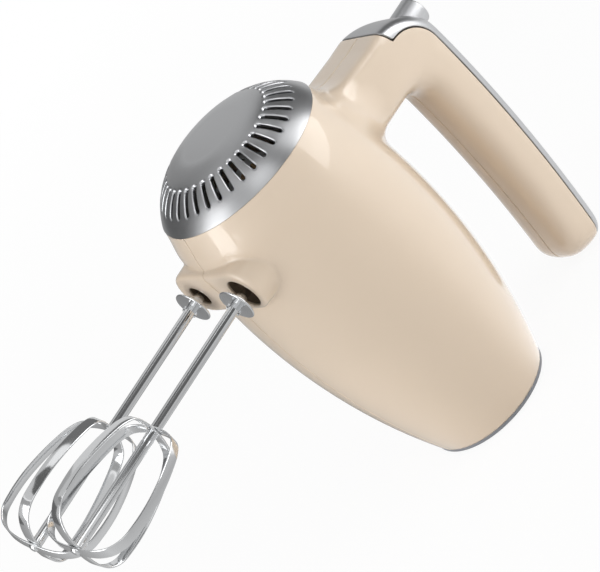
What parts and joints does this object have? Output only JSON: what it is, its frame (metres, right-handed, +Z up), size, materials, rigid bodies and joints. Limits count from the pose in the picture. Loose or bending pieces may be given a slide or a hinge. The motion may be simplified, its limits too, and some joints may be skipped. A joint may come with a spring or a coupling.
{
  "type": "hand mixer",
  "caption": "Hand-held kitchen mixer with a loop handle, geared motor, vented end cap, eject button, speed slider and two pull-off wire beaters.",
  "frame": {"origin": "centre of the heel pad's flat underside, on the surface that the mixer stands on", "axes": "+Z up along the motor axis towards the vent cap, +X towards the handle, beaters point along -X, +Y across the mixer"},
  "size_m": [0.3331, 0.1124, 0.206],
  "materials": {
    "shell": "glossy cream moulding",
    "silver": "satin silver, brushed round the outer band",
    "heel": "soft grey pad",
    "black_plastic": "fine matt moulding",
    "nylon": "natural nylon",
    "frame_metal": "die-cast",
    "steel": "turned",
    "lamination": "stacked sheet",
    "bronze": "sintered bronze",
    "copper": "varnished winding",
    "carbon": "pressed carbon",
    "board": "printed board",
    "beater_chrome": "polished"
  },
  "bodies": {
    "housing": {"left_housing": "shell", "right_housing": "shell", "vent_cap": "silver", "heel_pad": "heel", "handle_trim": "silver", "cord_gland": "black_plastic", "housing_screws": "steel", "gearbox_frame": "frame_metal", "front_bearing": "bronze", "main_bearing": "bronze", "rear_bearing": "bronze", "left_socket_bush": "bronze", "right_socket_bush": "bronze", "stator_core": "lamination", "field_coils": "copper", "motor_bridge": "nylon", "motor_screws": "steel", "brush_holders": "bronze", "carbon_brushes": "carbon", "circuit_board": "board", "speed_switch": "black_plastic", "eject_spring": "steel"},
    "armature": {"motor_shaft": "steel", "drive_worm": "steel", "armature_core": "lamination", "armature_windings": "copper", "commutator": "copper", "cooling_fan": "nylon"},
    "left_spindle": {"left_worm_wheel": "nylon"},
    "right_spindle": {"right_worm_wheel": "nylon"},
    "left_beater": {"left_beater_tube": "beater_chrome", "left_beater_collar": "beater_chrome", "left_outer_blade": "beater_chrome", "left_inner_blade": "beater_chrome"},
    "right_beater": {"right_beater_tube": "beater_chrome", "right_beater_collar": "beater_chrome", "right_outer_blade": "beater_chrome", "right_inner_blade": "beater_chrome"},
    "ejector": {"eject_button": "silver", "eject_rod": "nylon", "eject_yoke": "nylon"},
    "slider": {"speed_slider": "silver"}
  },
  "joints": [
    {"name": "armature_spin", "type": "hinge", "parent": "housing", "child": "armature", "pos_m": [0, 0, 0.1], "axis": [0, 0, 1], "continuous": true},
    {"name": "left_spindle_spin", "type": "hinge", "parent": "housing", "child": "left_spindle", "pos_m": [0, -0.02, 0.1545], "axis": [1, 0, 0], "continuous": true},
    {"name": "right_spindle_spin", "type": "hinge", "parent": "housing", "child": "right_spindle", "pos_m": [0, 0.02, 0.1545], "axis": [1, 0, 0], "continuous": true},
    {"name": "left_beater_slide", "type": "slide", "parent": "left_spindle", "child": "left_beater", "axis": [-1, 0, 0], "range_m": [0, 0.036]},
    {"name": "right_beater_slide", "type": "slide", "parent": "right_spindle", "child": "right_beater", "axis": [-1, 0, 0], "range_m": [0, 0.036]},
    {"name": "eject_press", "type": "slide", "parent": "housing", "child": "ejector", "axis": [-1, 0, 0], "range_m": [0, 0.007], "stiffness_N_per_m": 800, "springref_m": -0.004, "deforming": ["eject_spring"]},
    {"name": "speed_slide", "type": "slide", "parent": "housing", "child": "slider", "axis": [0.0158, 0, 0.9999], "range_m": [0, 0.01]}
  ],
  "couplings": [
    {"joint": "left_spindle_spin", "follows": "armature_spin", "ratio": -0.076923},
    {"joint": "right_spindle_spin", "follows": "armature_spin", "ratio": 0.076923}
  ]
}
